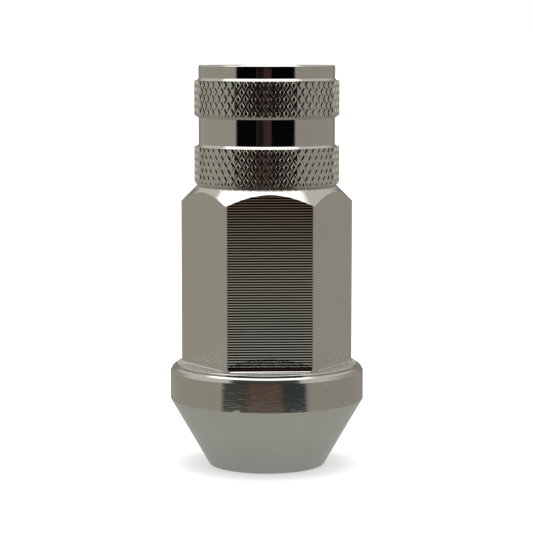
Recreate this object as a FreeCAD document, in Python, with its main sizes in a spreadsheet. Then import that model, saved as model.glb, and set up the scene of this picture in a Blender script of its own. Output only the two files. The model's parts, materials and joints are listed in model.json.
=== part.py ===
import FreeCAD, Part
import math
import os
import Sketcher

# Open-ended lug nut, turned from one piece of bar and plated. From the bottom up it has a conical seat, a
# flange with a rounded shoulder, a hexagon with a turned lead-in chamfer, a knurled grip band, a plain
# groove, a second knurled band and a plain collar, with a threaded bore from end to end. Millimetres, +Z up,
# origin in the middle of the small end that the nut stands on. One flat of the hexagon faces -Y.

Vector = FreeCAD.Vector
UP = Vector(0, 0, 1)
ORIGIN = Vector(0, 0, 0)

SIZES = {
    "thread_dia": 12.0,
    "thread_pitch": 1.5,
    "mouth_dia": 12.7,
    "seat_angle": 60.0,
    "seat_height": 8.55,
    "base_round": 0.3,
    "flange_dia": 24.6,
    "flange_side": 3.6,
    "shoulder_round": 0.8,
    "hex_flats": 19.0,
    "hex_corner_dia": 21.7,
    "hex_length": 20.8,
    "hex_chamfer": 2.0,
    "neck_dia": 17.7,
    "neck_length": 0.2,
    "band_dia": 18.36,
    "band_height": 5.0,
    "band_top_chamfer": 0.3,
    "band_foot_chamfer": 0.4,
    "groove_height": 3.3,
    "collar_dia": 17.24,
    "collar_height": 1.6,
    "top_chamfer": 0.3,
    "knurl_teeth": 48,
    "knurl_depth": 0.24,
    "knurl_width": 0.4,
    "knurl_helix": 30.0,
}

# Share of the thread's pitch by which the bore is under the nominal diameter, for a metric thread
THREAD_MINOR_SHARE = 1.0825
# Short cones that follow the seat end's round and the flange's shoulder
BASE_STEPS = 2
SHOULDER_STEPS = 3
# Sides of the hexagon, counted from the corner on +X, and the side that faces -Y
HEX_SIDES = 6
FRONT_SIDE = 4
# How far the grip bands are rooted inside the turned body that carries them
BAND_ROOT = 0.5
# How far a knurling groove's cutter stands out of the band, and runs past each of its ends
CUTTER_LIFT = 0.1
CUTTER_RUN_OUT = 0.3
GROOVE_SECTIONS = 6


class Length:
    """A length or an angle, as a value to draw with and as an expression on the sheet to bind to."""

    def __init__(self, value, text):
        self.value = value
        self.text = text

    def __add__(self, other):
        return Length(self.value + other.value, f"{self.text} + {other.text}")

    def __sub__(self, other):
        return Length(self.value - other.value, f"{self.text} - ({other.text})")

    def half(self):
        return Length(self.value / 2, f"({self.text}) / 2")

    def share(self, part, whole):
        return Length(self.value * part / whole, f"({self.text}) * {part} / {whole}")

    def along(self, angle):
        """What this reach covers across, at an angle in degrees."""
        return Length(self.value * math.cos(math.radians(angle.value)), f"({self.text}) * cos({angle.text})")

    def up(self, angle):
        """What this reach covers in height, at an angle in degrees."""
        return Length(self.value * math.sin(math.radians(angle.value)), f"({self.text}) * sin({angle.text})")


doc = FreeCAD.newDocument("lug_nut")
sheet = doc.addObject("Spreadsheet::Sheet", "sizes")
for row, (name, value) in enumerate(SIZES.items(), start=1):
    sheet.set(f"A{row}", name)
    sheet.set(f"B{row}", str(value))
    sheet.setAlias(f"B{row}", name)
doc.recompute()


def size(name):
    """A driving dimension of the sheet, by its name."""
    return Length(float(sheet.get(name)), f"sizes.{name}")


def radius(name):
    """Half of a diameter of the sheet."""
    return size(name).half()


# Radii of the turned outline
bore_radius = Length(
    (sheet.thread_dia - THREAD_MINOR_SHARE * sheet.thread_pitch) / 2,
    f"(sizes.thread_dia - {THREAD_MINOR_SHARE} * sizes.thread_pitch) / 2",
)
seat_run = Length(
    sheet.seat_height * math.tan(math.radians(sheet.seat_angle / 2)),
    "sizes.seat_height * tan(sizes.seat_angle / 2)",
)
base_radius = radius("flange_dia") - seat_run
mouth_depth = radius("mouth_dia") - bore_radius

# Heights of the turned outline, each from the one below
flange_bottom = size("seat_height")
ledge = flange_bottom + size("flange_side") + size("shoulder_round")
hex_top = ledge + size("hex_length")
neck_bottom = hex_top + size("hex_chamfer")
low_band = neck_bottom + size("neck_length")
low_band_middle = low_band + size("band_height").half()
high_band = low_band + size("band_height") + size("groove_height")
collar_bottom = high_band + size("band_height")
top = collar_bottom + size("collar_height")


def plane(body, role):
    """An origin plane of a body, by its role."""
    return next(feature for feature in body.Origin.OriginFeatures if feature.Role == role)


def new_sketch(body, name, role):
    """A sketch on one of the body's own origin planes."""
    sketch = body.newObject("Sketcher::SketchObject", name)
    sketch.AttachmentSupport = (plane(body, role), [""])
    sketch.MapMode = "FlatFace"
    return sketch


def bind(sketch, constraint, length):
    """Adds a constraint with a size and ties that size to the sheet."""
    index = sketch.addConstraint(constraint)
    sketch.setExpression(f"Constraints[{index}]", length.text)


def draw_outline(sketch, corners):
    """Draws a closed outline of straight edges, with every corner's radius and height tied to the sheet.

    A corner whose height is None lies on the sketch's own horizontal axis.
    """
    points = [Vector(across.value, height.value if height else 0, 0) for across, height in corners]
    for start, end in zip(points, points[1:] + points[:1]):
        sketch.addGeometry(Part.LineSegment(start, end), False)
    count = len(corners)
    for edge, (across, height) in enumerate(corners):
        sketch.addConstraint(Sketcher.Constraint("Coincident", edge, 2, (edge + 1) % count, 1))
        bind(sketch, Sketcher.Constraint("DistanceX", -1, 1, edge, 1, across.value), across)
        if height:
            bind(sketch, Sketcher.Constraint("DistanceY", -1, 1, edge, 1, height.value), height)
        else:
            sketch.addConstraint(Sketcher.Constraint("PointOnObject", edge, 1, -1))


def turned_round(across, height, reach, start, sweep, steps):
    """Corners along a round of the turned outline, about its middle, from one angle through a sweep."""
    corners = []
    for step in range(steps + 1):
        angle = start + sweep.share(step, steps)
        corners.append((across + reach.along(angle), height + reach.up(angle)))
    return corners


# Rounds of the seat's small end and of the flange's shoulder
right_angle = Length(90, "90")
straight_down = Length(-90, "-90")
level = Length(0, "0")
base_sweep = right_angle - size("seat_angle").half()
base_inset = Length(
    sheet.base_round * math.tan(math.radians(base_sweep.value / 2)),
    f"sizes.base_round * tan(({base_sweep.text}) / 2)",
)
base_round = turned_round(
    base_radius - base_inset, size("base_round"), size("base_round"), straight_down, base_sweep, BASE_STEPS
)
shoulder = turned_round(
    radius("flange_dia") - size("shoulder_round"),
    ledge - size("shoulder_round"),
    size("shoulder_round"),
    level,
    right_angle,
    SHOULDER_STEPS,
)

# Turned body: bore, seat, flange, hexagon blank, neck, groove and collar in one revolved outline
blank = doc.addObject("PartDesign::Body", "turned_body")
outline = new_sketch(blank, "turned_outline", "XZ_Plane")
draw_outline(
    outline,
    [
        (radius("mouth_dia"), None),
        (base_radius - base_inset, None),
        *base_round[1:],
        (radius("flange_dia"), flange_bottom),
        *shoulder,
        (radius("hex_corner_dia"), ledge),
        (radius("hex_corner_dia"), hex_top),
        (radius("neck_dia"), neck_bottom),
        (radius("neck_dia"), low_band_middle),
        (radius("collar_dia"), low_band_middle),
        (radius("collar_dia"), top - size("top_chamfer")),
        (radius("collar_dia") - size("top_chamfer"), top),
        (radius("mouth_dia"), top),
        (bore_radius, top - mouth_depth),
        (bore_radius, mouth_depth),
    ],
)
turned = blank.newObject("PartDesign::Revolution", "turned")
turned.Profile = outline
turned.ReferenceAxis = (outline, ["V_Axis"])
turned.Angle = 360
doc.recompute()

# Flats: everything outside the hexagon is milled away above the flange's ledge. The corners keep narrow
# lands of the turned blank, and the lead-in chamfer leaves its arcs on the flats.
across = size("hex_flats")
hexagon = new_sketch(blank, "hexagon", "XY_Plane")
hexagon.AttachmentOffset = FreeCAD.Placement(Vector(0, 0, ledge.value), FreeCAD.Rotation())
hexagon.setExpression("AttachmentOffset.Base.z", ledge.text)
corner_radius = across.value / math.sqrt(3)
corner_angles = [math.radians(360 * side / HEX_SIDES) for side in range(HEX_SIDES)]
corners = [Vector(math.cos(angle), math.sin(angle), 0) * corner_radius for angle in corner_angles]
for start, end in zip(corners, corners[1:] + corners[:1]):
    hexagon.addGeometry(Part.LineSegment(start, end), False)
guide = hexagon.addGeometry(Part.Circle(ORIGIN, UP, corner_radius), True)
rim = hexagon.addGeometry(Part.Circle(ORIGIN, UP, radius("flange_dia").value), False)
for side in range(HEX_SIDES):
    hexagon.addConstraint(Sketcher.Constraint("Coincident", side, 2, (side + 1) % HEX_SIDES, 1))
    hexagon.addConstraint(Sketcher.Constraint("PointOnObject", side, 1, guide))
for side in range(1, HEX_SIDES):
    hexagon.addConstraint(Sketcher.Constraint("Equal", 0, side))
hexagon.addConstraint(Sketcher.Constraint("Horizontal", FRONT_SIDE))
hexagon.addConstraint(Sketcher.Constraint("Coincident", guide, 3, -1, 1))
hexagon.addConstraint(Sketcher.Constraint("Coincident", rim, 3, -1, 1))
bind(hexagon, Sketcher.Constraint("Distance", -1, 1, FRONT_SIDE, across.half().value), across.half())
bind(hexagon, Sketcher.Constraint("Radius", rim, radius("flange_dia").value), radius("flange_dia"))

flats = blank.newObject("PartDesign::Pocket", "flats")
flats.Profile = hexagon
flats.Reversed = True
flats.Length = (size("hex_length") + size("hex_chamfer")).value
flats.setExpression("Length", (size("hex_length") + size("hex_chamfer")).text)
blank.Tip = flats
doc.recompute()
if flats.Shape.Volume > turned.Shape.Volume - 1:
    raise RuntimeError("the flats were not cut")


def groove_cutter(hand):
    """One V groove of the knurl, lofted along a helix that runs past both ends of a band.

    hand is 1 for a right-hand helix and -1 for a left-hand one.
    """
    outer = radius("band_dia").value
    depth = sheet.knurl_depth
    lead = 2 * math.pi * outer / math.tan(math.radians(sheet.knurl_helix))
    rise = sheet.band_height + 2 * CUTTER_RUN_OUT
    half_width = sheet.knurl_width / 2 * (depth + CUTTER_LIFT) / depth
    sections = []
    for step in range(GROOVE_SECTIONS + 1):
        share = step / GROOVE_SECTIONS
        turn = hand * 2 * math.pi * rise / lead * (share - 0.5)
        outward = Vector(math.cos(turn), math.sin(turn), 0)
        sideways = Vector(-math.sin(turn), math.cos(turn), 0)
        height = UP * (rise * share - CUTTER_RUN_OUT)
        root = outward * (outer - depth) + height
        lip = outward * (outer + CUTTER_LIFT) + height
        left = lip + sideways * half_width
        right = lip - sideways * half_width
        sections.append(Part.makePolygon([root, left, right, root]))
    return Part.makeLoft(sections, True, False)


def knurled_band():
    """A grip band: a chamfered ring with crossed helical grooves, which leave flat-topped diamonds."""
    outer = radius("band_dia").value
    foot = radius("collar_dia").value
    inner = foot - BAND_ROOT
    tall = sheet.band_height
    rooted = BAND_ROOT / (outer - foot)
    section = Part.makePolygon([
        Vector(inner, 0, -rooted * sheet.band_foot_chamfer),
        Vector(outer, 0, sheet.band_foot_chamfer),
        Vector(outer, 0, tall - sheet.band_top_chamfer),
        Vector(inner, 0, tall + rooted * sheet.band_top_chamfer),
        Vector(inner, 0, -rooted * sheet.band_foot_chamfer),
    ])
    band = Part.Face(section).revolve(ORIGIN, UP, 360)
    teeth = int(sheet.knurl_teeth)
    for hand in (1, -1):
        cutter = groove_cutter(hand)
        cutters = [cutter.rotated(ORIGIN, UP, 360 * tooth / teeth) for tooth in range(teeth)]
        band = band.cut(cutters)
    return band


# Grip bands: the same knurled ring twice, rooted in the turned body
band_shape = knurled_band()
bands = []
for name, bottom in (("low_grip_band", low_band), ("high_grip_band", high_band)):
    band = doc.addObject("Part::Feature", name)
    band.Shape = band_shape
    band.Placement = FreeCAD.Placement(UP * bottom.value, FreeCAD.Rotation())
    bands.append(band)

nut = doc.addObject("Part::MultiFuse", "lug_nut")
nut.Shapes = [blank] + bands
nut.Refine = False
nut.Label = "lug_nut"
doc.recompute()

for item in doc.Objects:
    if "Invalid" in item.State or "Error" in item.State:
        raise RuntimeError(f"{item.Name} failed: {item.State}")
if nut.Shape.isNull() or not nut.Shape.isValid() or len(nut.Shape.Solids) != 1:
    raise RuntimeError("the nut is not one valid solid")

os.makedirs("parts", exist_ok=True)
nut.Shape.Solids[0].exportStep(f"parts/{nut.Label}.step")
print(f"{nut.Label}: volume {nut.Shape.Volume:.1f} mm3, height {nut.Shape.BoundBox.ZLength:.2f} mm")
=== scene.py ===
"""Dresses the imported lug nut: its plated surfaces, feed lines, knurled bands and thread, in a small light tent."""
import json
import logging
import math
from dataclasses import dataclass
from enum import Enum

import bmesh
import bpy
from mathutils import Matrix, Vector


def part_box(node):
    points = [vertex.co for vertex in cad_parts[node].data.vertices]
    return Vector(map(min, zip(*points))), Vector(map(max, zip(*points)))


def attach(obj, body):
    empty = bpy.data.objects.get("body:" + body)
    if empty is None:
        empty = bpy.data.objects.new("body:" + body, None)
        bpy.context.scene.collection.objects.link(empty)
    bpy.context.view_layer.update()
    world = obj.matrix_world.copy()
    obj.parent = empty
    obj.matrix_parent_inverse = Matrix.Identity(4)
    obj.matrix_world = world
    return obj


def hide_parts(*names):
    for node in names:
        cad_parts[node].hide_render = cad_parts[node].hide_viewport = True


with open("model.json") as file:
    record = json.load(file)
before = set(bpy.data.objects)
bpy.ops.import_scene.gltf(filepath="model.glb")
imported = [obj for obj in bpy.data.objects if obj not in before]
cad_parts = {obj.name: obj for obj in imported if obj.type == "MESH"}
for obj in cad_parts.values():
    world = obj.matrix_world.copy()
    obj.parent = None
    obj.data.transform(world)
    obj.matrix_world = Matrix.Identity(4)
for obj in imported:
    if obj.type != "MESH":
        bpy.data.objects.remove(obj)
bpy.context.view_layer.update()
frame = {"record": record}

LOG = logging.getLogger("lug_nut")
NODE = "lug_nut"
BODY = "root"
SLOT = "bright_plating"

# The nut is modelled in millimetres and brought to metres at the end
MM = 0.001
MERIDIANS = 360
WELD_DISTANCE = 1e-5
SHARP_ANGLE = math.radians(24)
AXIS = Vector((0, 0, 1))
CENTRE = Vector((0, 0, 0))

NODE_LOW, NODE_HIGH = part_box(NODE)
HEIGHT = (NODE_HIGH[2] - NODE_LOW[2]) / MM
FLANGE_RADIUS = (NODE_HIGH[0] - NODE_LOW[0]) / 2 / MM
STUD = next(mount for mount in frame["record"]["mounts"] if mount["name"] == "stud_thread")
BORE_RADIUS = STUD["dims"]["r_mm"]
COLLAR_RADIUS = 8.62

Color = tuple[float, float, float]
Stop = tuple[float, Color]
Pair = tuple[float, float]

# A noise texture mostly lies between the low and the high value
NOISE_LOW, NOISE_MIDDLE, NOISE_HIGH = 0.3, 0.5, 0.7
NOISE_DETAIL = 3.0
WHITE: Color = (1.0, 1.0, 1.0)
BLACK: Color = (0.0, 0.0, 0.0)


class Cut(Enum):
    """How one solid is worked into another."""

    TAKE_AWAY = "DIFFERENCE"
    KEEP_SHARED = "INTERSECT"
    JOIN = "UNION"


@dataclass(frozen=True)
class Corner:
    """A corner of a turned outline: radius, height and how far it is rounded, in millimetres."""

    radius: float
    height: float
    rounding: float = 0.0
    steps: int = 4


def rounded_outline(corners: list[Corner]) -> list[Vector]:
    """Rounds the corners of a closed outline with tangent arcs.

    Args:
        corners: The outline's corners in order.

    Returns:
        Points in the XZ plane that follow the rounded outline.
    """
    points: list[Vector] = []
    count = len(corners)
    for index, corner in enumerate(corners):
        here = Vector((corner.radius, corner.height))
        if corner.rounding == 0:
            points.append(Vector((here.x, 0, here.y)))
            continue
        before, after = corners[index - 1], corners[(index + 1) % count]
        back = (Vector((before.radius, before.height)) - here).normalized()
        ahead = (Vector((after.radius, after.height)) - here).normalized()
        half_angle = back.angle(ahead) / 2
        reach = corner.rounding / math.tan(half_angle)
        middle = here + (back + ahead).normalized() * (corner.rounding / math.sin(half_angle))
        start = here + back * reach - middle
        sweep = start.angle_signed(here + ahead * reach - middle)
        for step in range(corner.steps + 1):
            spoke = start.copy()
            spoke.rotate(Matrix.Rotation(-sweep * step / corner.steps, 2))
            place = middle + spoke
            points.append(Vector((place.x, 0, place.y)))
    return points


def close_up(mesh: bmesh.types.BMesh) -> bmesh.types.BMesh:
    """Merges a mesh's doubles and turns its faces outwards.

    Args:
        mesh: The mesh to finish in place.

    Returns:
        The same mesh.
    """
    bmesh.ops.remove_doubles(mesh, verts=mesh.verts, dist=WELD_DISTANCE)
    bmesh.ops.recalc_face_normals(mesh, faces=mesh.faces)
    return mesh


def spun(points: list[Vector], meridians: int = MERIDIANS, closed: bool = True) -> bmesh.types.BMesh:
    """Spins an outline round the axis.

    Args:
        points: The outline in the XZ plane.
        meridians: Number of steps in the full turn.
        closed: Whether the outline's last point joins its first.

    Returns:
        The surface of revolution, with its faces pointing outwards.
    """
    mesh = bmesh.new()
    verts = [mesh.verts.new(point) for point in points]
    edges = [mesh.edges.new(pair) for pair in zip(verts, verts[1:])]
    if closed:
        edges.append(mesh.edges.new((verts[-1], verts[0])))
    bmesh.ops.spin(
        mesh, geom=verts + edges, cent=CENTRE, axis=AXIS, dvec=CENTRE,
        angle=math.tau, steps=meridians, use_merge=True, use_duplicate=False,
    )
    return close_up(mesh)


def as_object(mesh: bmesh.types.BMesh, name: str) -> bpy.types.Object:
    """Puts a bmesh into a new object of the scene.

    Args:
        mesh: The mesh, which is freed.
        name: Name of the object.

    Returns:
        The new object, at the origin.
    """
    data = bpy.data.meshes.new(name)
    mesh.to_mesh(data)
    mesh.free()
    piece = bpy.data.objects.new(name, data)
    bpy.context.scene.collection.objects.link(piece)
    return piece


def worked(piece: bpy.types.Object, steps: list[tuple[Cut, bpy.types.Object]]) -> None:
    """Works tools into a piece with exact booleans and removes the tools.

    Args:
        piece: The piece, whose mesh is replaced by the result.
        steps: How each tool is used, in order, and the tool itself.
    """
    for cut, tool in steps:
        modifier = piece.modifiers.new(tool.name, "BOOLEAN")
        modifier.operation = cut.value
        modifier.solver = "EXACT"
        modifier.object = tool
    graph = bpy.context.evaluated_depsgraph_get()
    result = bpy.data.meshes.new_from_object(piece.evaluated_get(graph))
    piece.modifiers.clear()
    piece.data = result
    for _, tool in steps:
        bpy.data.objects.remove(tool)


class Nodes:
    """Short forms for building a node tree."""

    def __init__(self, tree: bpy.types.NodeTree) -> None:
        """Works on one tree.

        Args:
            tree: The tree that new nodes go into.
        """
        self.tree = tree

    def add(self, kind: str, inputs: dict | None = None, **settings) -> bpy.types.Node:
        """Adds a node.

        Args:
            kind: The node's type name.
            inputs: Values or sockets for its inputs, by name or number.
            **settings: Properties of the node.

        Returns:
            The new node.
        """
        node = self.tree.nodes.new(kind)
        for name, value in settings.items():
            setattr(node, name, value)
        for name, value in (inputs or {}).items():
            if isinstance(value, bpy.types.NodeSocket):
                self.tree.links.new(value, node.inputs[name])
            else:
                node.inputs[name].default_value = value
        return node

    def math(self, operation: str, *values: float | bpy.types.NodeSocket) -> bpy.types.NodeSocket:
        """A sum, product or other function of numbers.

        Args:
            operation: The math node's operation.
            *values: Its inputs.

        Returns:
            The result's socket.
        """
        return self.add("ShaderNodeMath", dict(enumerate(values)), operation=operation).outputs["Value"]

    def ramp(self, value: bpy.types.NodeSocket, stops: list[Stop]) -> bpy.types.NodeSocket:
        """Colours along a value.

        Args:
            value: The value that runs along the ramp.
            stops: Values, rising, and the colour at each.

        Returns:
            The colour's socket.
        """
        low, high = stops[0][0], stops[-1][0]
        share = self.add("ShaderNodeMapRange", {"Value": value, "From Min": low, "From Max": high})
        node = self.add("ShaderNodeValToRGB", {"Fac": share.outputs["Result"]})
        elements = node.color_ramp.elements
        for stop, _ in stops[1:-1]:
            elements.new((stop - low) / (high - low))
        for element, (_, color) in zip(elements, stops):
            element.color = (*color, 1)
        return node.outputs["Color"]

    def mask(self, value: bpy.types.NodeSocket, stops: list[Pair]) -> bpy.types.NodeSocket:
        """Shares between 0 and 1 along a value.

        Args:
            value: The value that runs along the ramp.
            stops: Values, rising, and the share at each.

        Returns:
            The share's socket.
        """
        return self.ramp(value, [(stop, (share, share, share)) for stop, share in stops])

    def mix(
        self, share: bpy.types.NodeSocket, first: bpy.types.NodeSocket, second: bpy.types.NodeSocket,
    ) -> bpy.types.NodeSocket:
        """A mix of two colours.

        Args:
            share: How much of the second colour there is.
            first: The first colour.
            second: The second colour.

        Returns:
            The mixed colour's socket.
        """
        node = self.add("ShaderNodeMix", data_type="RGBA")
        for name, socket in (("Factor_Float", share), ("A_Color", first), ("B_Color", second)):
            target = next(item for item in node.inputs if item.identifier == name)
            self.tree.links.new(socket, target)
        return next(item for item in node.outputs if item.identifier == "Result_Color")


@dataclass(frozen=True)
class TurnedBody:
    """The turned blank: seat, flange, hexagon blank, neck, groove and collar round a plain bore."""

    seat_height: float = 8.55
    seat_half_angle: float = math.radians(30)
    base_round: float = 0.3
    flange_side: float = 3.6
    flange_edge: float = 0.07
    shoulder_run: float = 0.25
    shoulder_rise: float = 0.45
    shoulder_round: float = 0.06
    crown_radius: float = 11.83
    step_radius: float = 11.52
    step_height: float = 0.65
    ledge_round: float = 0.17
    ledge_rise: float = 0.95
    edge_supports: Pair = (0.2, 0.32)
    hex_corner_radius: float = 10.85
    hex_corner_edge: float = 0.1
    hex_length: float = 20.65
    hex_chamfer: float = 2.05
    neck_radius: float = 8.8
    neck_length: float = 0.15
    band_height: float = 5.0
    groove_height: float = 3.3
    top_chamfer: float = 0.1
    top_edge: float = 0.05
    mouth_radius: float = 6.35
    coarse_steps: int = 3
    fine_steps: int = 8

    @property
    def side_top(self) -> float:
        """Height of the flange side's upper edge."""
        return self.seat_height + self.flange_side

    @property
    def ledge(self) -> float:
        """Height of the flange's upper face, where the flats begin."""
        return self.side_top + self.ledge_rise

    @property
    def hex_top(self) -> float:
        """Height where the lead-in chamfer leaves the hexagon's corners."""
        return self.ledge + self.hex_length

    @property
    def neck(self) -> float:
        """Height of the neck between the hexagon and the lower band."""
        return self.hex_top + self.hex_chamfer

    @property
    def low_band(self) -> float:
        """Height of the lower band's foot."""
        return self.neck + self.neck_length

    @property
    def high_band(self) -> float:
        """Height of the upper band's foot."""
        return self.low_band + self.band_height + self.groove_height

    def outline(self) -> list[Vector]:
        """The turned section, from the base outwards and up, and back down the bore.

        Returns:
            Points of the section in the XZ plane.
        """
        taper = math.tan(self.seat_half_angle)
        base_radius = FLANGE_RADIUS - self.seat_height * taper
        mouth = self.mouth_radius - BORE_RADIUS
        hidden_step = self.low_band + self.band_height / 2
        return rounded_outline([
            Corner(self.mouth_radius, 0, self.top_edge, self.coarse_steps),
            Corner(base_radius, 0, self.base_round, self.fine_steps),
            *(Corner(FLANGE_RADIUS - row * taper, self.seat_height - row) for row in reversed(self.edge_supports)),
            Corner(FLANGE_RADIUS, self.seat_height, self.flange_edge),
            *(Corner(FLANGE_RADIUS, self.seat_height + row) for row in self.edge_supports),
            Corner(FLANGE_RADIUS, self.side_top),
            Corner(FLANGE_RADIUS - self.shoulder_run, self.side_top + self.shoulder_rise, self.shoulder_round),
            Corner(self.crown_radius, self.side_top + self.step_height),
            Corner(self.step_radius, self.side_top + self.step_height),
            Corner(self.step_radius, self.ledge, self.ledge_round, self.fine_steps),
            Corner(self.hex_corner_radius, self.ledge),
            Corner(self.hex_corner_radius, self.hex_top, self.hex_corner_edge, self.coarse_steps),
            Corner(self.neck_radius, self.neck),
            Corner(self.neck_radius, hidden_step),
            Corner(COLLAR_RADIUS, hidden_step),
            Corner(COLLAR_RADIUS, HEIGHT - self.top_chamfer, self.top_edge),
            Corner(COLLAR_RADIUS - self.top_chamfer, HEIGHT, self.top_edge),
            Corner(self.mouth_radius, HEIGHT, self.top_edge),
            Corner(BORE_RADIUS, HEIGHT - mouth),
            Corner(BORE_RADIUS, mouth),
        ])

    def build(self) -> bpy.types.Object:
        """Turns the blank.

        Returns:
            The blank as a closed solid.
        """
        return as_object(spun(self.outline()), "nut_shell")


@dataclass(frozen=True)
class HexDrive:
    """The milled hexagon: six flats with feed lines and a small root radius at the flange.

    Each feed line leans in on its way up and then out again. The light share is the part that leans out.
    """

    sides: int = 6
    across_flats: float = 19.0
    feed: float = 0.323
    feed_tilt: float = math.radians(16)
    light_share: float = 0.42
    root_round: float = 0.54
    root_steps: int = 10
    clear_radius: float = 14.0

    def levels(self, bottom: float, top: float) -> list[Pair]:
        """The flats' section: how far each height lies from the axis.

        Args:
            bottom: Height of the flange's upper face.
            top: Height above which nothing is milled.

        Returns:
            Pairs of distance from the axis and height, from the bottom up.
        """
        apothem = self.across_flats / 2
        rows: list[Pair] = []
        for step in range(self.root_steps):
            turn = math.pi / 2 * step / self.root_steps
            rows.append((
                apothem + self.root_round * (1 - math.sin(turn)),
                bottom + self.root_round * (1 - math.cos(turn)),
            ))
        start = bottom + self.root_round
        deepest = self.feed * self.light_share * math.tan(self.feed_tilt)
        for line in range(math.ceil((top - start) / self.feed)):
            foot = start + self.feed * line
            rows.append((apothem, foot))
            rows.append((apothem - deepest, foot + self.feed * (1 - self.light_share)))
        return rows

    def cutter(self, bottom: float, top: float) -> bpy.types.Object:
        """The metal that is milled away round the hexagon.

        Args:
            bottom: Height of the flange's upper face.
            top: Height above which nothing is milled.

        Returns:
            A closed ring whose inner wall is the hexagon's surface.
        """
        rows = self.levels(bottom, top)
        rows.append((self.clear_radius, rows[-1][1]))
        rows.append((self.clear_radius, bottom))
        mesh = bmesh.new()
        half_side = math.pi / self.sides
        to_corner = 1 / math.cos(half_side)
        first = bmesh.ops.create_circle(
            mesh, segments=self.sides, radius=rows[0][0] * to_corner,
            matrix=Matrix.Translation((0, 0, rows[0][1])) @ Matrix.Rotation(half_side, 4, "Z"),
        )["verts"]
        first_loop = list({edge for vert in first for edge in vert.link_edges})
        loop = first_loop
        for (last, low), (distance, high) in zip(rows, rows[1:]):
            made = bmesh.ops.extrude_edge_only(mesh, edges=loop)["geom"]
            verts = [item for item in made if isinstance(item, bmesh.types.BMVert)]
            loop = [item for item in made if isinstance(item, bmesh.types.BMEdge)]
            bmesh.ops.scale(mesh, verts=verts, vec=(distance / last, distance / last, 1))
            bmesh.ops.translate(mesh, verts=verts, vec=(0, 0, high - low))
        bmesh.ops.bridge_loops(mesh, edges=loop + first_loop)
        return as_object(close_up(mesh), "flats_cutter")


@dataclass(frozen=True)
class GripBand:
    """A diamond-knurled grip band with a chamfered foot, and a shelf and a cone at its top."""

    radius: float = 9.18
    inner_radius: float = 8.2
    core_radius: float = 7.8
    shelf_drop: float = 0.29
    shelf_cone: float = 0.24
    foot_run: float = 0.56
    foot_rise: float = 0.4
    teeth: int = 58
    spare_rows: int = 3
    helix: float = math.radians(30)
    groove_bed: float = 0.1
    flank_width: float = 0.094
    flank_slopes: Pair = (math.radians(22), math.radians(50))

    def ring(self, height: float, bottom: float) -> bpy.types.Object:
        """The chamfered ring that the knurl is rolled into.

        Args:
            height: Height of the band.
            bottom: Height of its foot.

        Returns:
            The plain ring.
        """
        top = bottom + height
        return as_object(spun([
            Vector((self.inner_radius, 0, bottom)),
            Vector((self.radius - self.foot_run, 0, bottom)),
            Vector((self.radius, 0, bottom + self.foot_rise)),
            Vector((self.radius, 0, top - self.shelf_drop)),
            Vector((COLLAR_RADIUS + self.shelf_cone, 0, top - self.shelf_drop)),
            Vector((COLLAR_RADIUS, 0, top)),
            Vector((self.inner_radius, 0, top)),
        ]), "plain_band")

    def build(self, height: float, bottom: float, name: str) -> bpy.types.Object:
        """The knurled band: crossed grooves round flat-topped diamonds, cut to the chamfered ring.

        Args:
            height: Height of the band.
            bottom: Height of its foot.
            name: Name of the object.

        Returns:
            The knurled band as a closed solid.
        """
        root_radius = self.radius - self.flank_width * sum(math.tan(slope) for slope in self.flank_slopes)
        pitch = math.tau * self.radius / self.teeth
        rise = pitch / math.tan(self.helix)
        rows = 2 * math.ceil(height / rise / 2) + self.spare_rows
        start = bottom + height / 2 - rise * (rows - 1) / 2
        levels = [start + rise * row for row in range(rows)]
        mesh = spun([Vector((root_radius, 0, level)) for level in levels], self.teeth, closed=False)
        grid = [edge for edge in mesh.edges if not edge.is_boundary]
        for vert in bmesh.ops.poke(mesh, faces=mesh.faces)["verts"]:
            vert.co.xy = vert.co.xy.normalized() * root_radius
        bmesh.ops.dissolve_edges(mesh, edges=grid, use_verts=False, use_face_split=False)
        for face in mesh.faces:
            face.normal_update()
            if face.normal.dot(face.calc_center_median() * Vector((1, 1, 0))) < 0:
                face.normal_flip()
        diamonds = [face for face in mesh.faces if len(face.verts) == 4]
        bmesh.ops.inset_individual(mesh, faces=diamonds, thickness=self.groove_bed / 2, use_even_offset=True)
        for slope in self.flank_slopes:
            bmesh.ops.inset_individual(
                mesh, faces=diamonds, thickness=self.flank_width, depth=self.flank_width * math.tan(slope),
                use_even_offset=True,
            )
        rims = bmesh.ops.extrude_edge_only(mesh, edges=[edge for edge in mesh.edges if edge.is_boundary])["geom"]
        inward = self.core_radius / root_radius
        bmesh.ops.scale(
            mesh, verts=[item for item in rims if isinstance(item, bmesh.types.BMVert)], vec=(inward, inward, 1),
        )
        bmesh.ops.bridge_loops(mesh, edges=[item for item in rims if isinstance(item, bmesh.types.BMEdge)])
        band = as_object(close_up(mesh), name)
        worked(band, [(Cut.KEEP_SHARED, self.ring(height, bottom))])
        return band


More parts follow.
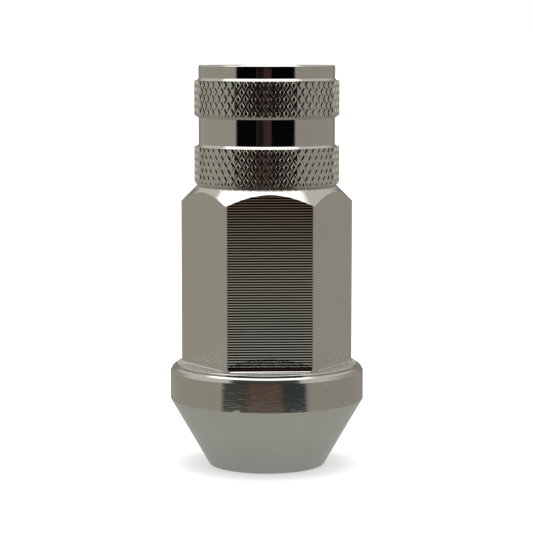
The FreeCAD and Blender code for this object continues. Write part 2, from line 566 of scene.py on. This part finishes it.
@dataclass(frozen=True)
class StudThread:
    """The internal metric thread, cut from end to end."""

    major_radius: float = 6.0
    pitch: float = 1.5
    crest_share: float = 1 / 8
    flank_angle: float = math.radians(30)
    spare_turns: int = 2
    steps: int = 60
    inside: float = 0.1

    def cutter(self) -> bpy.types.Object:
        """The helical ridge of metal that the tap takes away.

        Returns:
            The ridge as a closed solid, a little longer than the bore.
        """
        crest = self.pitch * self.crest_share
        inner = BORE_RADIUS - self.inside
        base = crest + 2 * (self.major_radius - inner) * math.tan(self.flank_angle)
        turns = math.ceil(HEIGHT / self.pitch) + self.spare_turns
        mesh = bmesh.new()
        verts = [
            mesh.verts.new((radius, 0, height - self.pitch))
            for radius, height in (
                (inner, -base / 2), (self.major_radius, -crest / 2), (self.major_radius, crest / 2), (inner, base / 2),
            )
        ]
        edges = [mesh.edges.new((vert, verts[index - 1])) for index, vert in enumerate(verts)]
        bmesh.ops.spin(
            mesh, geom=verts + edges, cent=CENTRE, axis=AXIS, dvec=(0, 0, self.pitch / self.steps),
            angle=math.tau * turns, steps=self.steps * turns, use_merge=False, use_duplicate=False,
        )
        bmesh.ops.holes_fill(mesh, edges=mesh.edges, sides=4)
        return as_object(close_up(mesh), "thread_cutter")


@dataclass(frozen=True)
class Nick:
    """A small dent in the flange's lower edge, with its place as a turn from the front."""

    turn: float = math.radians(-19.95)
    half_width: float = 0.42
    depth: float = 0.14
    reach: float = 0.16

    def press(self, mesh: bpy.types.Mesh, edge_height: float) -> None:
        """Presses the dent into the edge.

        Args:
            mesh: The nut's mesh, in millimetres.
            edge_height: Height of the flange's lower edge.
        """
        for vert in mesh.vertices:
            across = vert.co.xy.length
            if across < FLANGE_RADIUS - self.reach or abs(vert.co.z - edge_height) > self.reach:
                continue
            sideways = (math.atan2(vert.co.x, -vert.co.y) - self.turn) * FLANGE_RADIUS / self.half_width
            if abs(sideways) < 1:
                share = (1 - sideways ** 2) ** 2
                vert.co.z += self.depth * share * (1 - (vert.co.z - edge_height) / self.reach) / 2
                vert.co.xy *= 1 - self.depth * share / 2 / across


@dataclass(frozen=True)
class Pit:
    """A pinhole in the plating on the flange's side, by turn from the front, height and radius."""

    turn: float
    height: float
    radius: float


@dataclass(frozen=True)
class DullRing:
    """A ring between two heights that is left as turned, with its roughness."""

    low: float
    high: float
    roughness: float


@dataclass(frozen=True)
class BrightPlating:
    """Bright nickel-chrome plating over turned steel, with fine turning marks and a few pinholes, a painted shade on
    the flange's side and a painted highlight on the knurled bands.
    """

    name: str = SLOT
    color: Color = (0.66, 0.65, 0.615)
    roughness: float = 0.06
    polish_range: Pair = (0.7, 1.4)
    mark_height: float = 0.011
    mark_length: float = 2.5
    mark_spacing: float = 0.1
    mark_polish: float = 0.06
    side_low: float = 8.65
    side_high: float = 12.12
    # Painted shade: the flange's side is darkened so that its reflection reads darker
    side_painted_shade: float = 0.93
    # Painted highlight: the knurled bands' colour is raised a little so that their reflections read lighter
    band_painted_highlight: float = 1.03
    bands: tuple[Pair, ...] = ((36.25, 40.66), (44.65, 48.96))
    drift_size: float = 4.0
    drift_shade: float = 0.96
    pit_shade: float = 0.25
    pit_edge: Pair = (0.6, 1.2)
    pits: tuple[Pit, ...] = (
        Pit(math.radians(34.3), 11.05, 0.07),
        Pit(math.radians(34.1), 10.93, 0.06),
        Pit(math.radians(32.1), 11.0, 0.04),
        Pit(math.radians(40.8), 10.3, 0.05),
    )
    rings: tuple[DullRing, ...] = (
        DullRing(12.17, 12.82, 0.15),
        DullRing(13.09, 13.11, 0.65),
        DullRing(35.5, 35.97, 0.35),
    )
    ring_edge: float = 0.01

    def material(self) -> bpy.types.Material:
        """Builds the plating on Object coordinates.

        Returns:
            The material.
        """
        material = bpy.data.materials.new(self.name)
        material.use_nodes = True
        nodes = Nodes(material.node_tree)
        shader = material.node_tree.nodes["Principled BSDF"]
        shader.inputs["Metallic"].default_value = 1.0
        place = nodes.add("ShaderNodeTexCoord").outputs["Object"]
        height = nodes.add("ShaderNodeSeparateXYZ", {"Vector": place}).outputs["Z"]
        side = nodes.mask(height, self.between(self.side_low, self.side_high))
        around, along = 1 / (self.mark_length * MM), 1 / (self.mark_spacing * MM)
        stretched = nodes.add("ShaderNodeMapping", {"Vector": place, "Scale": (around, around, along)})
        marks = nodes.add(
            "ShaderNodeTexNoise", {"Vector": stretched.outputs["Vector"], "Scale": 1.0, "Detail": NOISE_DETAIL},
        ).outputs["Fac"]
        drift = nodes.add(
            "ShaderNodeTexNoise", {"Vector": place, "Scale": 1 / (self.drift_size * MM), "Detail": NOISE_DETAIL},
        ).outputs["Fac"]
        shade = nodes.mask(drift, [(NOISE_LOW, self.drift_shade), (NOISE_HIGH, 1.0)])
        # Painted shade on the flange's side
        shade = nodes.math("MULTIPLY", shade, nodes.mask(side, [(0.0, 1.0), (1.0, self.side_painted_shade)]))
        # Painted highlight: the knurled bands are made lighter
        for low, high in self.bands:
            band = nodes.mask(height, self.between(low, high))
            shade = nodes.math("MULTIPLY", shade, nodes.math("MULTIPLY_ADD", band, self.band_painted_highlight - 1, 1.0))
        for pit in self.pits:
            shade = nodes.math("MULTIPLY", shade, self.pit_mask(nodes, place, pit))
        tint = nodes.add("ShaderNodeVectorMath", {0: self.color, "Scale": shade}, operation="SCALE")
        polish = nodes.mask(marks, [
            (noise, self.roughness * factor) for noise, factor in zip((NOISE_LOW, NOISE_HIGH), self.polish_range)
        ])
        for ring in self.rings:
            dull = nodes.mask(height, self.between(ring.low, ring.high))
            polish = nodes.math("MAXIMUM", polish, nodes.math("MULTIPLY", dull, ring.roughness))
        coarse = nodes.mask(side, [(0.0, self.mark_polish), (1.0, 1.0)])
        relief = nodes.math("MULTIPLY", nodes.math("SUBTRACT", marks, NOISE_MIDDLE), coarse)
        bump = nodes.add("ShaderNodeBump", {"Strength": 1.0, "Distance": self.mark_height * MM, "Height": relief})
        links = material.node_tree.links
        links.new(tint.outputs["Vector"], shader.inputs["Base Color"])
        links.new(polish, shader.inputs["Roughness"])
        links.new(bump.outputs["Normal"], shader.inputs["Normal"])
        return material

    def between(self, low: float, high: float) -> list[Pair]:
        """Stops of a mask that is 1 between two heights.

        Args:
            low: Lower height in millimetres.
            high: Upper height in millimetres.

        Returns:
            Heights in metres and the share at each.
        """
        edge = self.ring_edge
        stops = [(low - edge, 0.0), (low, 1.0), (high, 1.0), (high + edge, 0.0)]
        return [(height * MM, share) for height, share in stops]

    def pit_mask(self, nodes: Nodes, place: bpy.types.NodeSocket, pit: Pit) -> bpy.types.NodeSocket:
        """Darkens the plating inside a pinhole.

        Args:
            nodes: The material's tree.
            place: Object coordinates.
            pit: The pinhole.

        Returns:
            A factor for the plating's colour.
        """
        middle = Vector((math.sin(pit.turn), -math.cos(pit.turn), 0)) * FLANGE_RADIUS + AXIS * pit.height
        away = nodes.add("ShaderNodeVectorMath", {0: place, 1: middle * MM}, operation="DISTANCE")
        core, rim = (pit.radius * MM * factor for factor in self.pit_edge)
        return nodes.mask(away.outputs["Value"], [(core, self.pit_shade), (rim, 1.0)])


@dataclass(frozen=True)
class LugNut:
    """The whole nut: the turned blank with its flats, bands and thread worked in."""

    body: TurnedBody = TurnedBody()
    drive: HexDrive = HexDrive()
    high_band: GripBand = GripBand()
    low_band: GripBand = GripBand(foot_run=0.2, foot_rise=0.3)
    thread: StudThread = StudThread()
    nick: Nick = Nick()
    finish: BrightPlating = BrightPlating()

    def build(self) -> bpy.types.Object:
        """Makes the nut, dresses it, hides the CAD part it stands for and attaches it to the body.

        Returns:
            The nut as one closed piece, in metres.
        """
        nut = self.body.build()
        worked(nut, [
            (Cut.TAKE_AWAY, self.drive.cutter(self.body.ledge, self.body.neck)),
            (Cut.TAKE_AWAY, self.thread.cutter()),
            (Cut.JOIN, self.low_band.build(self.body.band_height, self.body.low_band, "low_band")),
            (Cut.JOIN, self.high_band.build(self.body.band_height, self.body.high_band, "high_band")),
        ])
        self.nick.press(nut.data, self.body.seat_height)
        nut.data.transform(Matrix.Scale(MM, 4))
        nut.data.shade_smooth()
        nut.data.set_sharp_from_angle(angle=SHARP_ANGLE)
        nut.data.materials.clear()
        nut.data.materials.append(self.finish.material())
        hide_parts(NODE)
        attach(nut, BODY)
        return nut


@dataclass(frozen=True)
class Viewpoint:
    """The photograph's camera: metres from the nut's axis, heights over the floor and turn from the front."""

    distance: float = 0.2554
    eye_height: float = 0.05295
    aim_height: float = 0.02532
    turn: float = math.radians(-2.35)
    step_left: float = 0.00004
    focal_px: float = 2015.5
    image_px: float = 533.0
    sensor: float = 36.0
    clip_start: float = 0.01

    def build(self) -> None:
        """Sets up the scene's camera."""
        data = bpy.data.cameras.new("camera")
        data.sensor_width = self.sensor
        data.lens = self.sensor * self.focal_px / self.image_px
        data.clip_start = self.clip_start
        aside = Vector((math.cos(self.turn), math.sin(self.turn), 0)) * -self.step_left
        back = Vector((math.sin(self.turn), -math.cos(self.turn), 0)) * self.distance
        eye = aside + back + AXIS * self.eye_height
        gaze = aside + AXIS * self.aim_height - eye
        camera = bpy.data.objects.new("camera", data)
        camera.matrix_world = Matrix.Translation(eye) @ gaze.to_track_quat("-Z", "Y").to_matrix().to_4x4()
        bpy.context.scene.collection.objects.link(camera)
        bpy.context.scene.camera = camera


@dataclass(frozen=True)
class LightTent:
    """What the plating mirrors: a grey table and walls, a dark front where the camera stands, a white roof."""

    radius: float = 0.5
    height: float = 0.8
    segments: int = 96
    table_drop: float = 0.001
    near_table: float = 0.025
    far_table: float = 0.045
    side_dark: Pair = (0.048, 0.055)
    centre_edge: Pair = (8.0, 12.0)
    dark_left: float = -54.5
    dark_right: float = 43.0
    dark_top: float = 62.0
    dark_haze: float = 0.2
    haze_depth: float = 22.0
    table_left: float = -52.0
    table_right: float = 39.5
    edge: float = 2.5
    swing: float = 1.15
    roof_lean: float = 5.0
    roof_fade: Pair = (16.0, 24.0)
    stripe_fade: Pair = (8.0, 13.0)
    left_glow: Color = (0.395, 0.38, 0.325)
    right_glow: Color = (0.37, 0.35, 0.305)
    back_glow: Color = (0.25, 0.25, 0.235)
    roof_glow: Color = (2.0, 2.0, 2.0)
    front_black: Color = (0.002, 0.002, 0.002)
    front_brown: Color = (0.057, 0.031, 0.025)
    table_black: Color = (0.05, 0.045, 0.04)

    def build(self) -> None:
        """Makes the tent as one stage piece that only reflections see."""
        mesh = spun([
            Vector((0, 0, -self.table_drop)),
            Vector((self.radius, 0, -self.table_drop)),
            Vector((self.radius, 0, self.height)),
            Vector((0, 0, self.height)),
        ], self.segments, closed=False)
        tent = as_object(mesh, "light_tent")
        tent.data.materials.append(self.cloth())
        tent.visible_camera = False
        tent.visible_diffuse = False
        tent.visible_shadow = False

    def cloth(self) -> bpy.types.Material:
        """Glow of the tent, by the direction and distance from the nut.

        Returns:
            An emission material.
        """
        material = bpy.data.materials.new("tent_cloth")
        material.use_nodes = True
        material.node_tree.nodes.clear()
        nodes = Nodes(material.node_tree)
        place = nodes.add("ShaderNodeTexCoord").outputs["Object"]
        x, y, z = nodes.add("ShaderNodeSeparateXYZ", {"Vector": place}).outputs
        level = nodes.add("ShaderNodeVectorMath", {0: place, 1: (1, 1, 0)}, operation="MULTIPLY").outputs["Vector"]
        away = nodes.add("ShaderNodeVectorMath", {0: level}, operation="LENGTH").outputs["Value"]
        elevation = nodes.math("DEGREES", nodes.math("ARCTAN2", z, away))
        bearing = nodes.math("DEGREES", nodes.math("ARCTAN2", x, nodes.math("MULTIPLY", y, -1.0)))
        turn = nodes.math("SUBTRACT", bearing, self.swing)
        sides = nodes.ramp(turn, [
            (-180.0, self.back_glow),
            (-160.0, (0.26, 0.26, 0.245)),
            (-148.0, self.left_glow),
            (-40.0, self.left_glow),
            (40.0, self.right_glow),
            (138.0, self.right_glow),
            (150.0, (0.25, 0.24, 0.22)),
            (180.0, self.back_glow),
        ])
        is_wall = nodes.math("GREATER_THAN", z, -self.table_drop / 2)
        color = nodes.mix(is_wall, self.table(nodes, turn, away, sides), self.walls(nodes, turn, elevation, sides))
        glow = nodes.add("ShaderNodeEmission", {"Color": color})
        nodes.add("ShaderNodeOutputMaterial", {"Surface": glow.outputs["Emission"]})
        return material

    def front(self, nodes: Nodes, turn: bpy.types.NodeSocket, left: float, right: float) -> bpy.types.NodeSocket:
        """Share of the dark front.

        Args:
            nodes: The material's tree.
            turn: Turn from the front in degrees, rising to the right.
            left: Turn where the dark begins.
            right: Turn where it ends.

        Returns:
            1 in front, 0 at the sides and behind.
        """
        return nodes.mask(turn, [
            (-180.0, 0.0), (left - self.edge, 0.0), (left, 1.0), (right, 1.0), (right + self.edge, 0.0), (180.0, 0.0),
        ])

    def walls(
        self, nodes: Nodes, turn: bpy.types.NodeSocket, elevation: bpy.types.NodeSocket, sides: bpy.types.NodeSocket,
    ) -> bpy.types.NodeSocket:
        """Glow of the walls and the roof.

        Args:
            nodes: The material's tree.
            turn: Turn from the front in degrees, rising to the right.
            elevation: Height over the horizon in degrees.
            sides: Glow of the sides.

        Returns:
            The glow's colour.
        """
        lean = nodes.math("MULTIPLY", nodes.math("SINE", nodes.math("RADIANS", turn)), self.roof_lean)
        upper = nodes.ramp(nodes.math("SUBTRACT", elevation, lean), [
            (20.0, (0.4, 0.39, 0.34)),
            (32.0, (0.68, 0.65, 0.6)),
            (54.0, (0.68, 0.67, 0.64)),
            (60.0, self.roof_glow),
            (90.0, self.roof_glow),
        ])
        start, full = self.roof_fade
        pale = nodes.mix(nodes.mask(elevation, [(start, 0.0), (full, 1.0)]), sides, upper)
        stripe = nodes.ramp(turn, [
            (-60.0, self.front_black),
            (-21.0, self.front_black),
            (-19.5, (0.035, 0.03, 0.027)),
            (-17.5, (0.012, 0.008, 0.007)),
            (-10.0, (0.02, 0.012, 0.01)),
            (-7.0, self.front_brown),
            (3.0, self.front_brown),
            (5.0, self.front_black),
            (60.0, self.front_black),
        ])
        clear, gone = self.stripe_fade
        fading = nodes.ramp(elevation, [(clear, WHITE), (gone, BLACK)])
        dark = nodes.add("ShaderNodeVectorMath", {0: stripe, 1: fading}, operation="MULTIPLY").outputs["Vector"]
        low = nodes.mask(elevation, [
            (0.0, 1.0), (self.dark_top - self.haze_depth, 1.0), (self.dark_top, 1 - self.dark_haze),
            (self.dark_top + self.edge, 0.0), (90.0, 0.0),
        ])
        front = self.front(nodes, turn, self.dark_left, self.dark_right)
        return nodes.mix(nodes.math("MULTIPLY", front, low), pale, dark)

    def table(
        self, nodes: Nodes, turn: bpy.types.NodeSocket, away: bpy.types.NodeSocket, sides: bpy.types.NodeSocket,
    ) -> bpy.types.NodeSocket:
        """Glow of the table: pale round the nut, with a painted shadow close to the nut's base, and dark towards the
        camera.

        Args:
            nodes: The material's tree.
            turn: Turn from the front in degrees, rising to the right.
            away: Distance from the nut's axis in metres.
            sides: Glow of the sides, which the far table takes on.

        Returns:
            The glow's colour.
        """
        # Painted shadow: the table glows darker within a few millimetres of the nut's base, where the nut would shade
        # it
        near = nodes.ramp(away, [
            (0.008, (0.36, 0.37, 0.35)),
            (0.013, (0.415, 0.42, 0.395)),
            (self.near_table, (0.41, 0.41, 0.38)),
        ])
        far = nodes.mask(away, [(self.near_table, 0.0), (self.far_table, 1.0)])
        pale = nodes.mix(far, near, sides)
        dark = nodes.ramp(turn, [
            (-60.0, (0.08, 0.08, 0.072)),
            (-25.5, (0.072, 0.07, 0.063)),
            (-21.5, (0.125, 0.088, 0.07)),
            (10.5, (0.125, 0.086, 0.068)),
            (15.0, self.table_black),
            (19.0, self.table_black),
            (21.0, (0.043, 0.06, 0.058)),
            (60.0, (0.045, 0.062, 0.06)),
        ])
        ahead = nodes.mask(away, [
            (self.near_table, 0.0), (0.041, 0.2), (0.047, 0.36), (0.0545, 0.77), (0.058, 1.0),
        ])
        start, full = self.side_dark
        aside = nodes.mask(away, [(start, 0.0), (full, 1.0)])
        inner, outer = self.centre_edge
        off_centre = nodes.mask(turn, [(-outer, 1.0), (-inner, 0.0), (inner, 0.0), (outer, 1.0)])
        beyond = nodes.mix(off_centre, ahead, aside)
        front = self.front(nodes, turn, self.table_left, self.table_right)
        return nodes.mix(nodes.math("MULTIPLY", front, beyond), pale, dark)


@dataclass(frozen=True)
class Studio:
    """The white surround: a floor that keeps the nut's shadow, an overhead lamp and the tent."""

    floor_radius: float = 4.0
    floor_segments: int = 96
    floor_color: Color = WHITE
    floor_glow: float = 0.25
    lamp_height: float = 0.5
    lamp_size: float = 0.4
    lamp_power: float = 0.6
    tent: LightTent = LightTent()
    view: Viewpoint = Viewpoint()

    def surround(self) -> None:
        """A plain white world."""
        world = bpy.data.worlds.new("white_surround")
        world.use_nodes = True
        world.node_tree.nodes["Background"].inputs["Color"].default_value = (*WHITE, 1)
        bpy.context.scene.world = world

    def floor(self) -> None:
        """A pale floor that takes the nut's shadow."""
        mesh = bmesh.new()
        bmesh.ops.create_circle(mesh, cap_ends=True, segments=self.floor_segments, radius=self.floor_radius)
        floor = as_object(mesh, "floor")
        material = bpy.data.materials.new("white_card")
        material.use_nodes = True
        shader = material.node_tree.nodes["Principled BSDF"]
        shader.inputs["Base Color"].default_value = (*self.floor_color, 1)
        shader.inputs["Roughness"].default_value = 1.0
        shader.inputs["Specular IOR Level"].default_value = 0.0
        nodes = Nodes(material.node_tree)
        seen = nodes.math("MULTIPLY", nodes.add("ShaderNodeLightPath").outputs["Is Camera Ray"], self.floor_glow)
        shader.inputs["Emission Color"].default_value = (*WHITE, 1)
        material.node_tree.links.new(seen, shader.inputs["Emission Strength"])
        floor.data.materials.append(material)
        floor.visible_glossy = False

    def lamp(self) -> None:
        """A soft lamp overhead, which only the floor shows."""
        data = bpy.data.lights.new("overhead", "AREA")
        data.shape = "DISK"
        data.size = self.lamp_size
        data.energy = self.lamp_power
        lamp = bpy.data.objects.new("overhead", data)
        lamp.location = (0, 0, self.lamp_height)
        lamp.visible_glossy = False
        bpy.context.scene.collection.objects.link(lamp)

    def build(self) -> None:
        """Sets up everything round the nut."""
        self.surround()
        self.floor()
        self.lamp()
        self.tent.build()
        self.view.build()
        bpy.context.scene.view_settings.view_transform = "Standard"


def main() -> None:
    """Builds the nut and its studio, and logs the nut's face count."""
    logging.basicConfig(level=logging.INFO, format="%(message)s")
    nut = LugNut().build()
    LOG.info("%s: %d faces", nut.name, len(nut.data.polygons))
    Studio().build()


if __name__ == "__main__":
    main()
